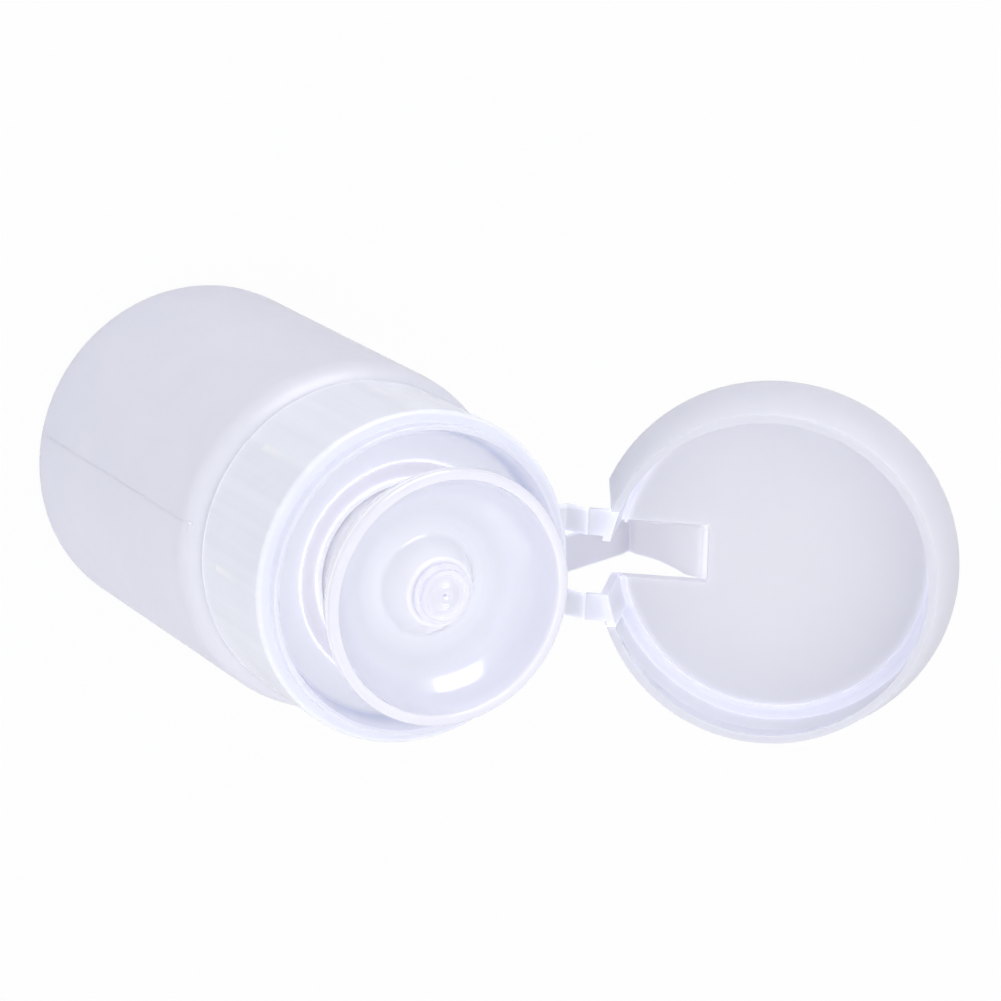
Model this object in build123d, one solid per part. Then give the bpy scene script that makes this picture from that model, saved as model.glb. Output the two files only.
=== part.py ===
"""Press-top dispenser bottle for nail polish remover.

A round frosted bottle with a screwed collar. A sprung dish stands in the collar: pressing it
pumps a little liquid up the dip tube and out of the nozzle into the dish. A flip lid, moulded
in one with the collar, covers the dish. It is modelled open.
Millimetres. +Z is up along the bottle, the hinge is on the +Y side, and the origin is the
centre of the base.
"""
from build123d import *
import math
import os

os.makedirs("parts", exist_ok=True)

# Clearances shared by the pieces
running_fit = 0.05
body_gap = 0.4
seat_gap = 0.04
cut_overrun = 1.0

# Bottle
bottle_radius = 30.0
bottle_wall = 1.1
shoulder_height = 68.4
shoulder_round = 4.5
foot_round = 2.05
foot_ring_width = 6.0
base_recess_depth = 0.8
base_pad_radius = 6.0
neck_radius = 15.9
neck_wall = 1.4
neck_height = 9.1
neck_root_round = 1.0
inner_radius = bottle_radius - bottle_wall
base_recess_radius = bottle_radius - foot_ring_width
neck_bore = neck_radius - neck_wall
neck_top = shoulder_height + neck_height

# Screw thread of the neck and the collar
thread_lead = 4.0
thread_rod = 0.75
thread_play = 0.35
thread_foot_rise = 2.15
thread_top_drop = 1.2
thread_foot = shoulder_height + thread_foot_rise
thread_room = neck_height - thread_foot_rise - thread_top_drop - thread_rod
neck_thread_turns = round(4 * thread_room / thread_lead) / 4
collar_thread_turns = neck_thread_turns - 1 / 4

# Pump cylinder with its gasket, inlet valve and dip tube
gasket_thickness = 1.0
gasket_inset = 0.9
flange_thickness = 1.3
flange_overhang = 0.4
bore_radius = 9.0
bore_wall = 1.2
bore_length = 22.3
cage_thickness = 1.2
cage_ledge = 1.9
cage_hole_radius = 0.9
cage_hole_inset = 1.6
cage_hole_count = 4
inlet_ball_radius = 2.4
inlet_ball_play = 1.2
inlet_chamber_height = 6.9
inlet_throat_radius = 1.4
inlet_throat_length = 1.0
socket_depth = 6.8
socket_wall = 1.35
dip_tube_radius = 3.0
dip_tube_wall = 0.8
dip_tube_floor_gap = 3.1
dip_tube_notch = 3.0
flange_foot = neck_top + gasket_thickness
flange_top = flange_foot + flange_thickness
flange_radius = neck_radius + flange_overhang
bore_floor = flange_foot - bore_length
inlet_chamber_radius = inlet_ball_radius + inlet_ball_play
inlet_seat_foot = bore_floor - inlet_chamber_height
cage_radius = inlet_chamber_radius + cage_ledge
tube_stop_height = inlet_seat_foot - inlet_throat_length
socket_foot = tube_stop_height - socket_depth
dip_tube_foot = base_recess_depth + bottle_wall + dip_tube_floor_gap

# Piston, lock ring and return spring
press_travel = 6.0
stem_radius = 4.6
stem_bore = 1.5
piston_core_gap = 0.6
piston_flange = 1.5
piston_seal_height = 3.3
seal_lip_share = 1 / 4
lock_ring_depth = 2.8
lock_ring_overhang = 2.5
lock_ring_flange_thickness = 1.1
spring_inset = 1.1
spring_wire_radius = 0.4
spring_turns = 6
piston_core_radius = bore_radius - piston_core_gap
piston_height = 2 * piston_flange + piston_seal_height + 2 * running_fit
lock_ring_foot = flange_top - lock_ring_depth
piston_foot = lock_ring_foot - 2 * running_fit - piston_height

# Collar
collar_foot_gap = 0.6
collar_draft = 0.3
collar_wall = 1.3
collar_edge_round = 0.8
lip_step = 1.98
lip_thickness = 0.87
lip_height = 2.4
deck_rise = 8.2
deck_sink = 4.0
deck_thickness = 1.4
deck_draft = 1.2
well_width = 9.0
deck_corner = 1.2
bead_inset = 3.7
bead_width = 0.5
bead_height = 0.35
guide_wall = 1.3
guide_rim_width = 0.9
guide_rim_height = 0.6
sleeve_wall = 1.4
sleeve_foot_gap = 1.1
rib_count = 8
rib_thickness = 0.9
rib_depth = 2.0
rib_foot_gap = 2.0
sleeve_inner = neck_radius + thread_rod + thread_play
guide_radius = flange_radius - guide_wall
bead_radius = guide_radius + bead_inset
deck_outer_radius = guide_radius + well_width
lip_inner_radius = deck_outer_radius + deck_draft
lip_outer_radius = lip_inner_radius + lip_thickness
collar_top_radius = lip_outer_radius + lip_step
collar_foot_radius = collar_top_radius - collar_draft
collar_foot = shoulder_height + collar_foot_gap
deck_height = flange_top + deck_rise
collar_top = deck_height + deck_sink

# Dish and nozzle
dish_floor_gap = 0.6
dish_depth = 8.6
dish_flare = 5.0
dish_wall = 1.2
dish_corner_round = 2.7
dish_rim_width = 1.8
dish_rim_round = 0.7
dish_rim_drop = 1.6
dish_skirt_wall = 1.3
boss_height = 5.0
boss_margin = 0.6
boss_draft = 2.7
boss_round = 0.9
socket_tube_wall = 1.4
socket_tube_depth = 6.9
passage_radius = 1.6
passage_length = 1.8
nozzle_bore = 3.2
nozzle_depth = 2.8
nozzle_head_step = 1.9
nozzle_head_height = 1.1
nozzle_tip_step = 0.8
nozzle_tip_height = 1.2
nozzle_hole_radius = 0.7
dish_floor = deck_height + guide_rim_height + press_travel + dish_wall + dish_floor_gap
dish_rim_top = dish_floor + dish_depth
dish_skirt_radius = guide_radius - body_gap
dish_skirt_foot = flange_top + press_travel + body_gap
dish_rim_inner = dish_skirt_radius + dish_flare
dish_rim_outer = dish_rim_inner + dish_rim_width
nozzle_head_radius = nozzle_bore + nozzle_head_step
nozzle_tip_radius = nozzle_head_radius - nozzle_tip_step
boss_top = dish_floor + boss_height
boss_top_radius = nozzle_head_radius + boss_margin
boss_foot_radius = boss_top_radius + boss_draft

# Outlet valve, in the top of the stem
outlet_ball_radius = 2.1
outlet_ball_play = 0.8
outlet_chamber_height = 5.8
outlet_chamber_radius = outlet_ball_radius + outlet_ball_play
stem_top = boss_top - nozzle_depth - passage_length
outlet_seat_foot = stem_top - outlet_chamber_height

# Lid, as it lies when closed, and its two hinge straps
lid_open_angle = 144.26
hinge_reach = 2.1
hinge_rise = 2.45
hinge_relief = 0.6
fold_gap = 0.15
lid_rim_gap = 0.3
lid_lip_gap = 0.43
lid_rim_wall = 1.34
lid_flare = 2.91
lid_dish_gap = 1.3
lid_edge_drop = 0.9
lid_corner_drop = 2.0
lid_plate_thickness = 1.1
lid_top_round = 1.6
plate_ring_inset = 0.8
plate_ring_width = 0.5
plate_ring_height = 0.4
slot_half_width = 4.6
slot_end_y = 11.6
slot_draft = 0.4
strap_side_gap = 0.44
strap_width = 4.46
strap_thickness = 0.8
strap_root_drop = 1.1
strap_root_thickness = 1.12
pocket_side_gap = 0.35
hinge_y = collar_top_radius + hinge_reach
hinge_z = collar_top + hinge_rise
hinge_line = Axis((0, hinge_y, hinge_z), (1, 0, 0))
lid_rim_foot = collar_top + lid_rim_gap
lid_rim_inner = lip_outer_radius + lid_lip_gap
lid_rim_outer = lid_rim_inner + lid_rim_wall
lid_widest_radius = lid_rim_outer + lid_flare
lid_plate_foot = dish_rim_top + lid_dish_gap
lid_widest_height = lid_plate_foot - lid_edge_drop
lid_top = lid_plate_foot + lid_plate_thickness
plate_middle = lid_plate_foot + lid_plate_thickness / 2
plate_ring_radius = lid_rim_inner - plate_ring_inset
strap_inner_x = slot_half_width + strap_side_gap
strap_outer_x = strap_inner_x + strap_width
strap_root_height = collar_top - strap_root_drop
pocket_half_width = strap_outer_x + pocket_side_gap

# Snap band: closed, its lower half stands up to the lid's plate and its upper half lies in the slot
band_root_reach = 0.85
band_root_drop = 4.0
band_root_height = 1.2
band_root_rise = 0.2
band_root_gap = 0.35
band_thickness = 0.8
band_fold_inset = 1.85
band_fold_rise = 0.14
band_fold_gap = 0.5
band_end_gap = 0.3
band_side_gap = 0.1
band_waist_half = 3.0
band_flare_start = 5.0
band_flare_end = 12.6
band_flare_shares = (0, 0.25, 0.5, 0.75, 1)
band_hinge_y = collar_top_radius + band_root_reach
band_hinge_z = collar_top - band_root_drop
band_end_y = slot_end_y + band_end_gap
band_end_half = slot_half_width - band_side_gap
band_fold_y = hinge_y - band_fold_inset
band_fold_z = plate_middle + band_fold_rise
band_lower_length = math.hypot(band_fold_y - band_hinge_y, band_fold_z - band_hinge_z)
band_upper_length = math.hypot(band_fold_y - band_end_y, band_fold_rise)


def turned(corners, rounds=()):
    """Turns a closed outline of (radius, height) corners about Z; rounds are (corner, radius)."""
    outline = make_face(Polyline(*corners, close=True))
    for number, radius in rounds:
        corner = outline.vertices().sort_by_distance(Vector(*corners[number]))[0]
        outline = fillet(corner, radius)
    return revolve(Plane.XZ * outline, Axis.Z)


def ring(inner, outer, foot, top):
    """A plain ring between two heights."""
    return turned([(inner, foot), (outer, foot), (outer, top), (inner, top)])


def block(x_range, y_range, z_range):
    """A box from its limits along each axis."""
    size = [high - low for low, high in (x_range, y_range, z_range)]
    centre = [(high + low) / 2 for low, high in (x_range, y_range, z_range)]
    return Pos(*centre) * Box(*size)


def extruded_x(corners, x_from, x_to):
    """A flat outline of (y, height) corners, pulled along X."""
    face = make_face(Polyline(*[(x_from, y, z) for y, z in corners], close=True))
    return extrude(face, x_to - x_from, dir=(1, 0, 0))


def coil_path(radius, foot, lead, turns):
    """A rising right-hand coil of tangent arcs, two for each quarter turn."""
    slope = lead / (2 * math.pi * radius)

    def place(angle):
        height = foot + lead * angle / (2 * math.pi)
        return Vector(radius * math.cos(angle), radius * math.sin(angle), height)

    def heading(angle):
        return Vector(-math.sin(angle), math.cos(angle), slope).normalized()

    edges = []
    quarters = round(turns * 4)
    for number in range(quarters):
        angle_a = number * math.pi / 2
        angle_b = angle_a + math.pi / 2
        start, end = place(angle_a), place(angle_b)
        tangent_a, tangent_b = heading(angle_a), heading(angle_b)
        chord = end - start
        both = chord.dot(tangent_a + tangent_b)
        spread = 2 * (1 - tangent_a.dot(tangent_b))
        reach = (-both + math.sqrt(both**2 + spread * chord.dot(chord))) / spread
        middle = (start + end + (tangent_a - tangent_b) * reach) * 0.5
        edges.append(TangentArc(start, middle, tangent=tangent_a))
        edges.append(TangentArc(end, middle, tangent=-tangent_b))
    return Wire(edges)


def coil_rod(radius, foot, lead, turns, rod_radius):
    """A round rod along a coil path."""
    path = coil_path(radius, foot, lead, turns)
    section = Plane(origin=path @ 0, z_dir=path % 0) * Circle(rod_radius)
    return sweep(section, path=path)


# Bottle: one blown shell with a threaded neck
def make_bottle():
    floor_top = base_recess_depth + bottle_wall
    shoulder_underside = shoulder_height - bottle_wall
    shell = turned(
        [
            (0, 0),
            (base_pad_radius, 0),
            (base_pad_radius + base_recess_depth, base_recess_depth),
            (base_recess_radius - base_recess_depth, base_recess_depth),
            (base_recess_radius, 0),
            (bottle_radius, 0),
            (bottle_radius, shoulder_height),
            (neck_radius, shoulder_height),
            (neck_radius, neck_top),
            (neck_bore, neck_top),
            (neck_bore, shoulder_underside),
            (inner_radius, shoulder_underside),
            (inner_radius, floor_top),
            (0, floor_top),
        ],
        [
            (5, foot_round),
            (6, shoulder_round),
            (7, neck_root_round),
            (11, shoulder_round - bottle_wall),
            (12, foot_round),
        ],
    )
    thread = coil_rod(neck_radius, thread_foot, thread_lead, neck_thread_turns, thread_rod)
    return shell + thread


# Collar: skirt, top ring with a raised lip, sunk deck, guide tube and threaded sleeve
def make_collar():
    skirt_inner_foot = collar_foot_radius - collar_wall
    skirt_inner_top = collar_top_radius - collar_wall
    deck_foot = deck_height - deck_thickness
    recess_outer = lip_outer_radius - collar_wall / 8
    top_underside = collar_top - collar_wall
    guide_outer = guide_radius + guide_wall
    sleeve_outer = sleeve_inner + sleeve_wall
    sleeve_foot = shoulder_height + sleeve_foot_gap
    bead_inner = bead_radius - bead_width / 2
    bead_outer = bead_radius + bead_width / 2
    body = turned(
        [
            (collar_foot_radius, collar_foot),
            (collar_top_radius, collar_top),
            (lip_outer_radius, collar_top),
            (lip_outer_radius, collar_top + lip_height),
            (lip_inner_radius, collar_top + lip_height),
            (deck_outer_radius, deck_height),
            (bead_outer, deck_height),
            (bead_radius, deck_height + bead_height),
            (bead_inner, deck_height),
            (guide_radius + guide_rim_width, deck_height),
            (guide_radius + guide_rim_width, deck_height + guide_rim_height),
            (guide_radius, deck_height + guide_rim_height),
            (guide_radius, flange_top),
            (guide_outer, flange_top),
            (guide_outer, deck_foot),
            (sleeve_inner, deck_foot),
            (sleeve_inner, sleeve_foot),
            (sleeve_outer, sleeve_foot),
            (sleeve_outer, deck_foot),
            (recess_outer, deck_foot),
            (recess_outer, top_underside),
            (skirt_inner_top, top_underside),
            (skirt_inner_foot, collar_foot),
        ],
        [
            (1, collar_edge_round),
            (3, lip_thickness / 3),
            (4, lip_thickness / 3),
            (5, deck_corner),
            (10, guide_rim_height / 2),
            (11, guide_rim_height / 3),
        ],
    )
    # The collar's thread starts half a turn round, so that its turns lie between the neck's
    thread = coil_rod(sleeve_inner, thread_foot, thread_lead, collar_thread_turns, thread_rod)
    body += Rot(0, 0, 180) * thread
    rib_outer = skirt_inner_foot + collar_wall / 4
    rib = block(
        (rib_outer - rib_depth, rib_outer),
        (-rib_thickness / 2, rib_thickness / 2),
        (collar_foot + rib_foot_gap, deck_foot + deck_thickness / 2),
    )
    for number in range(rib_count):
        body += Rot(0, 0, number * 360 / rib_count) * rib
    root_top = band_hinge_z + band_root_rise
    root_tab = block(
        (-band_waist_half, band_waist_half),
        (collar_top_radius - collar_wall / 2, band_hinge_y - band_root_gap),
        (root_top - band_root_height, root_top),
    )
    return body + root_tab


# Gasket between the neck and the pump's flange
def make_gasket():
    return ring(neck_bore - gasket_inset, flange_radius, neck_top, flange_foot)


# Pump cylinder: flange, bore, ball chamber and dip tube socket, in one moulding
def make_pump_cylinder():
    bore_outer = bore_radius + bore_wall
    socket_bore = dip_tube_radius + running_fit
    socket_outer = socket_bore + socket_wall
    seat_rise = inlet_chamber_radius - inlet_throat_radius
    return turned(
        [
            (bore_radius, flange_top),
            (flange_radius, flange_top),
            (flange_radius, flange_foot),
            (bore_outer, flange_foot),
            (bore_outer, bore_floor - bore_wall),
            (socket_outer + bore_wall, inlet_seat_foot + bore_wall),
            (socket_outer, inlet_seat_foot),
            (socket_outer, socket_foot),
            (socket_bore, socket_foot),
            (socket_bore, tube_stop_height),
            (inlet_throat_radius, tube_stop_height),
            (inlet_throat_radius, inlet_seat_foot),
            (inlet_chamber_radius, inlet_seat_foot + seat_rise),
            (inlet_chamber_radius, bore_floor - cage_thickness),
            (cage_radius, bore_floor - cage_thickness),
            (cage_radius, bore_floor),
            (bore_radius, bore_floor),
        ]
    )


def seated_ball(radius, throat_radius, seat_foot):
    """A ball resting on a 45 degree seat that starts at the throat."""
    centre = seat_foot - throat_radius + radius * math.sqrt(2) + seat_gap
    return Pos(0, 0, centre) * Sphere(radius)


# Cage that keeps the inlet ball in its chamber
def make_ball_cage():
    cage_foot = bore_floor - cage_thickness
    hole_circle = cage_radius - cage_hole_inset
    cage = ring(inlet_throat_radius / 2, cage_radius - running_fit, cage_foot, bore_floor)
    drill = ring(0, cage_hole_radius, cage_foot - cut_overrun, bore_floor + cut_overrun)
    for number in range(cage_hole_count):
        cage -= Rot(0, 0, number * 360 / cage_hole_count) * Pos(hole_circle, 0, 0) * drill
    return cage


# Dip tube with a notch at its foot, so that it can't seal on the base
def make_dip_tube():
    tube = ring(dip_tube_radius - dip_tube_wall, dip_tube_radius, dip_tube_foot, tube_stop_height)
    notch = extruded_x(
        [
            (0, dip_tube_foot + dip_tube_notch),
            (-dip_tube_notch, dip_tube_foot - cut_overrun),
            (dip_tube_notch, dip_tube_foot - cut_overrun),
        ],
        -dip_tube_radius - cut_overrun,
        dip_tube_radius + cut_overrun,
    )
    return tube - notch


# Lock ring snapped into the cylinder's mouth: it guides the stem and stops the piston
def make_lock_ring():
    return turned(
        [
            (stem_radius + running_fit, lock_ring_foot),
            (bore_radius - running_fit, lock_ring_foot),
            (bore_radius - running_fit, flange_top),
            (bore_radius + lock_ring_overhang, flange_top),
            (bore_radius + lock_ring_overhang, flange_top + lock_ring_flange_thickness),
            (stem_radius + running_fit, flange_top + lock_ring_flange_thickness),
        ]
    )


# Stem with the piston core at its foot and the outlet valve's seat near its top
def make_stem():
    core_top = piston_foot + piston_height
    seal_foot = piston_foot + piston_flange
    seal_top = core_top - piston_flange
    chamber_rise = outlet_chamber_radius - stem_bore
    return turned(
        [
            (stem_bore, piston_foot),
            (piston_core_radius, piston_foot),
            (piston_core_radius, seal_foot),
            (stem_radius, seal_foot),
            (stem_radius, seal_top),
            (stem_radius + piston_flange, seal_top),
            (stem_radius + piston_flange, core_top),
            (stem_radius, core_top),
            (stem_radius, stem_top),
            (outlet_chamber_radius, stem_top),
            (outlet_chamber_radius, outlet_seat_foot + chamber_rise),
            (stem_bore, outlet_seat_foot),
        ]
    )


# Piston seal with two thin lips, between the core's flanges
def make_piston_seal():
    foot = piston_foot + piston_flange + running_fit
    top = foot + piston_seal_height
    lip = bore_radius - running_fit
    lip_height = piston_seal_height * seal_lip_share
    waist = lip - lip_height
    slope = lip_height / 2
    return turned(
        [
            (stem_radius + running_fit, foot),
            (lip, foot),
            (lip, foot + lip_height),
            (waist, foot + lip_height + slope),
            (waist, top - lip_height - slope),
            (lip, top - lip_height),
            (lip, top),
            (stem_radius + running_fit, top),
        ]
    )


# Return spring: an open coil between the bore's floor and the piston
def make_spring():
    foot = bore_floor + spring_wire_radius + seat_gap
    top = piston_foot - spring_wire_radius - seat_gap
    lead = (top - foot) / spring_turns
    coil_radius = piston_core_radius - spring_inset
    return coil_rod(coil_radius, foot, lead, spring_turns, spring_wire_radius)


# Dish: bowl with a rolled rim, a centre boss for the nozzle, a sliding skirt and a stem socket
def make_dish():
    boss_drop = boss_top - nozzle_depth
    skirt_inner = dish_skirt_radius - dish_skirt_wall
    socket_bore = stem_radius + running_fit
    socket_outer = socket_bore + socket_tube_wall
    socket_roof = stem_top + running_fit
    wall_foot_radius = (dish_skirt_radius + boss_foot_radius) / 2
    return turned(
        [
            (passage_radius, boss_drop),
            (nozzle_bore, boss_drop),
            (nozzle_bore, boss_top),
            (boss_top_radius, boss_top),
            (boss_foot_radius, dish_floor),
            (wall_foot_radius, dish_floor),
            (dish_skirt_radius + dish_wall, dish_floor + 2 * dish_wall),
            (dish_rim_inner, dish_rim_top),
            (dish_rim_outer, dish_rim_top),
            (dish_rim_outer, dish_rim_top - dish_rim_drop),
            (dish_rim_outer - dish_rim_round, dish_rim_top - dish_rim_drop),
            (dish_skirt_radius + 2 * dish_wall, dish_floor + dish_wall),
            (dish_skirt_radius, dish_floor - dish_wall / 2),
            (dish_skirt_radius, dish_skirt_foot),
            (skirt_inner, dish_skirt_foot),
            (skirt_inner, dish_floor - dish_wall),
            (socket_outer, dish_floor - dish_wall),
            (socket_outer, dish_floor - socket_tube_depth),
            (socket_bore, dish_floor - socket_tube_depth),
            (socket_bore, socket_roof),
            (passage_radius, socket_roof),
        ],
        [
            (3, boss_round),
            (4, boss_round),
            (5, dish_corner_round),
            (6, dish_corner_round),
            (7, dish_rim_round),
            (8, dish_rim_round),
        ],
    )


# Nozzle button pressed into the boss, with a fine hole and a stepped head
def make_nozzle():
    plug_radius = nozzle_bore - running_fit
    plug_foot = boss_top - nozzle_depth + running_fit
    head_foot = boss_top + running_fit
    head_top = boss_top + nozzle_head_height
    tip_top = head_top + nozzle_tip_height
    return turned(
        [
            (nozzle_hole_radius, plug_foot),
            (plug_radius, plug_foot),
            (plug_radius, head_foot),
            (nozzle_head_radius, head_foot),
            (nozzle_head_radius, head_top),
            (nozzle_tip_radius, head_top),
            (nozzle_tip_radius, tip_top),
            (nozzle_hole_radius, tip_top - nozzle_hole_radius),
        ],
        [(4, nozzle_head_height / 3), (6, nozzle_tip_height / 3)],
    )


def strap_sides(side):
    """The lateral limits of the hinge strap on one side."""
    return sorted((side * strap_inner_x, side * strap_outer_x))


# Lid, built closed: a flared shell with a pocket at the hinge and a slot for the snap band
def make_closed_lid():
    corner_z = lid_widest_height - lid_corner_drop
    rise_share = (corner_z - lid_rim_foot) / (lid_widest_height - lid_rim_foot)
    inner_corner = lid_rim_inner + lid_flare * rise_share
    ring_inner = plate_ring_radius - plate_ring_width / 2
    ring_outer = plate_ring_radius + plate_ring_width / 2
    wall_middle = lid_rim_inner + lid_rim_wall / 2
    below, above = lid_rim_foot - cut_overrun, lid_top + cut_overrun
    behind = 2 * lid_widest_radius
    shell = turned(
        [
            (lid_rim_inner, lid_rim_foot),
            (lid_rim_outer, lid_rim_foot),
            (lid_widest_radius, lid_widest_height),
            (lid_widest_radius - lid_plate_thickness, lid_top),
            (0, lid_top),
            (0, lid_plate_foot),
            (ring_inner, lid_plate_foot),
            (ring_inner, lid_plate_foot - plate_ring_height),
            (ring_outer, lid_plate_foot - plate_ring_height),
            (ring_outer, lid_plate_foot),
            (inner_corner - lid_plate_thickness, lid_plate_foot),
            (inner_corner, corner_z),
        ],
        [(2, lid_top_round), (3, lid_top_round / 2)],
    )
    pocket_y = math.sqrt(lid_rim_outer**2 - pocket_half_width**2)
    pocket_corners = [
        (-pocket_half_width, 0),
        (pocket_half_width, 0),
        (pocket_half_width, pocket_y),
        (pocket_half_width + behind, pocket_y + behind),
        (-pocket_half_width - behind, pocket_y + behind),
        (-pocket_half_width, pocket_y),
    ]
    pocket_outline = Pos(0, 0, below) * make_face(Polyline(*pocket_corners, close=True))
    pocket_zone = extrude(pocket_outline, above - below)
    outside = ring(lid_rim_outer, behind, below, above)
    back_wall = ring(lid_rim_inner, lid_rim_outer, lid_rim_foot, lid_plate_foot) & pocket_zone
    shell = shell - (outside & pocket_zone) + back_wall
    # The wall's foot at the hinge is cut back, so that it swings clear of the collar's lip
    shell -= block(
        (-pocket_half_width, pocket_half_width),
        (deck_outer_radius / 2, behind),
        (below, lid_rim_foot + hinge_relief),
    )
    strap_foot = hinge_z + fold_gap
    strap_corners = [
        (lid_rim_inner, strap_foot),
        (lid_rim_inner, strap_foot + strap_thickness),
        (hinge_y - fold_gap, strap_foot + strap_thickness),
        (hinge_y - fold_gap, strap_foot),
    ]
    within_wall = ring(0, wall_middle, below, above)
    for side in (-1, 1):
        shell += extruded_x(strap_corners, *strap_sides(side)) - within_wall
    shell -= block((-slot_half_width, slot_half_width), (slot_end_y, behind), (below, above))
    # The slot's edges slope: it is wider at the plate's inner face
    slot_mouth = Pos(0, (slot_end_y - slot_draft + behind) / 2, lid_plate_foot) * Rectangle(
        2 * (slot_half_width + slot_draft), behind - slot_end_y + slot_draft
    )
    slope = math.degrees(math.atan2(slot_draft, lid_plate_thickness))
    return shell - extrude(slot_mouth, lid_plate_thickness, taper=slope)


# Hinge straps: the collar's halves of the two moulded hinges, rising to the fold line
def make_hinge_strap(side, collar):
    root_y = lip_outer_radius - collar_wall
    root_foot = strap_root_height - strap_root_thickness
    strap = extruded_x(
        [
            (root_y, root_foot),
            (root_y, strap_root_height),
            (collar_top_radius, strap_root_height),
            (hinge_y - fold_gap, hinge_z - fold_gap),
            (hinge_y - fold_gap / 2, hinge_z - fold_gap - strap_thickness),
            (collar_top_radius + strap_thickness, root_foot),
        ],
        *strap_sides(side),
    )
    return (strap - collar).solids().sort_by(SortBy.VOLUME)[-1]


def fold_place():
    """The open band's fold, and its end on the lid: both halves reach from their hinge lines."""
    opening = math.radians(lid_open_angle)
    arm_y = band_end_y - hinge_y
    arm_z = plate_middle - hinge_z
    end_y = hinge_y + arm_y * math.cos(opening) + arm_z * math.sin(opening)
    end_z = hinge_z - arm_y * math.sin(opening) + arm_z * math.cos(opening)
    span_y = end_y - band_hinge_y
    span_z = end_z - band_hinge_z
    span = math.hypot(span_y, span_z)
    along = (band_lower_length**2 - band_upper_length**2 + span**2) / (2 * span)
    across = math.sqrt(band_lower_length**2 - along**2)
    fold_y = band_hinge_y + (along * span_y + across * span_z) / span
    fold_z = band_hinge_z + (along * span_z - across * span_y) / span
    return (fold_y, fold_z), (end_y, end_z)


def band_panel(start, towards, outline):
    """A flat panel: outline is (distance from start, half width) down one side."""
    heading = Vector(0, towards[0] - start[0], towards[1] - start[1]).normalized()
    frame = Plane(origin=(0, *start), x_dir=heading, z_dir=Vector(1, 0, 0).cross(heading))
    sides = outline + [(along, -half) for along, half in reversed(outline)]
    face = frame * make_face(Polyline(*sides, close=True))
    return extrude(face, band_thickness / 2, both=True)


# Lower half of the snap band, from the collar's wall to the fold
def make_band_lower():
    fold, _ = fold_place()
    outline = [
        (band_root_gap, band_waist_half),
        (band_lower_length - band_fold_gap, band_waist_half),
    ]
    return band_panel((band_hinge_y, band_hinge_z), fold, outline)


# Upper half of the snap band, from the fold to the end of the lid's slot
def make_band_upper():
    fold, end = fold_place()
    flare_length = band_flare_end - band_flare_start
    widening = band_end_half - band_waist_half
    outline = [(band_fold_gap, band_waist_half)]
    outline += [
        (band_flare_start + flare_length * share, band_waist_half + widening * share**1.6)
        for share in band_flare_shares
    ]
    outline.append((band_upper_length - band_root_gap, band_end_half))
    return band_panel(fold, end, outline)


collar = make_collar()
pieces = {
    "bottle": make_bottle(),
    "screw_collar": collar,
    "neck_gasket": make_gasket(),
    "pump_cylinder": make_pump_cylinder(),
    "inlet_ball": seated_ball(inlet_ball_radius, inlet_throat_radius, inlet_seat_foot),
    "inlet_ball_cage": make_ball_cage(),
    "dip_tube": make_dip_tube(),
    "lock_ring": make_lock_ring(),
    "piston_stem": make_stem(),
    "piston_seal": make_piston_seal(),
    "return_spring": make_spring(),
    "outlet_ball": seated_ball(outlet_ball_radius, stem_bore, outlet_seat_foot),
    "press_dish": make_dish(),
    "nozzle_button": make_nozzle(),
    "flip_lid": make_closed_lid().rotate(hinge_line, -lid_open_angle),
    "hinge_strap_left": make_hinge_strap(-1, collar),
    "hinge_strap_right": make_hinge_strap(1, collar),
    "snap_band_lower": make_band_lower(),
    "snap_band_upper": make_band_upper(),
}

for name, shape in pieces.items():
    export_step(shape, f"parts/{name}.step")
    print(name, round(shape.volume, 1), "mm3,", len(shape.solids()), "solid")
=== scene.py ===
import math

import bmesh
import bpy
from mathutils import Matrix, Vector


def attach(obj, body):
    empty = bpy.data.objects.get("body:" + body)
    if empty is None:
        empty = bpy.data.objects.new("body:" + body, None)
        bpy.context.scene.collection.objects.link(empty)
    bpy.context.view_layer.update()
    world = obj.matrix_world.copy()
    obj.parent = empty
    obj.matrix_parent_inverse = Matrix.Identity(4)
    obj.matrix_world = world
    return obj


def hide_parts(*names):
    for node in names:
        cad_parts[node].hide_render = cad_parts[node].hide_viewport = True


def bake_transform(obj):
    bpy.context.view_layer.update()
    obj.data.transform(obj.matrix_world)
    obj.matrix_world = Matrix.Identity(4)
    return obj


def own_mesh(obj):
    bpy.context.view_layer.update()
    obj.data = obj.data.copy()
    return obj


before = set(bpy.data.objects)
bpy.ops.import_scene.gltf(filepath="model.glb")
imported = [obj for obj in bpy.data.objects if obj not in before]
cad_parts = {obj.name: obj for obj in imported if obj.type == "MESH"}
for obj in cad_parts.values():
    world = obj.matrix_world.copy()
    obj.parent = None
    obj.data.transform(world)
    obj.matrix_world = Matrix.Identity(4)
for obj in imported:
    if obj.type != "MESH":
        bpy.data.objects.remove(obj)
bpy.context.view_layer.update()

# Camera, floor and light
# The camera looks down at the open pump from about 59 degrees and is rolled, so that the standing
# bottle lies across the picture. A pale card lies under it, in a white tent that is brightest
# overhead and dimmest behind the lid, with a large soft panel on each side and the face of a
# lamp in the left one.
scene = bpy.context.scene
scene.view_settings.view_transform = "Standard"
scene.cycles.max_bounces = 32
scene.cycles.diffuse_bounces = 16
scene.cycles.glossy_bounces = 8
scene.cycles.transmission_bounces = 24
mm = 0.001

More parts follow.
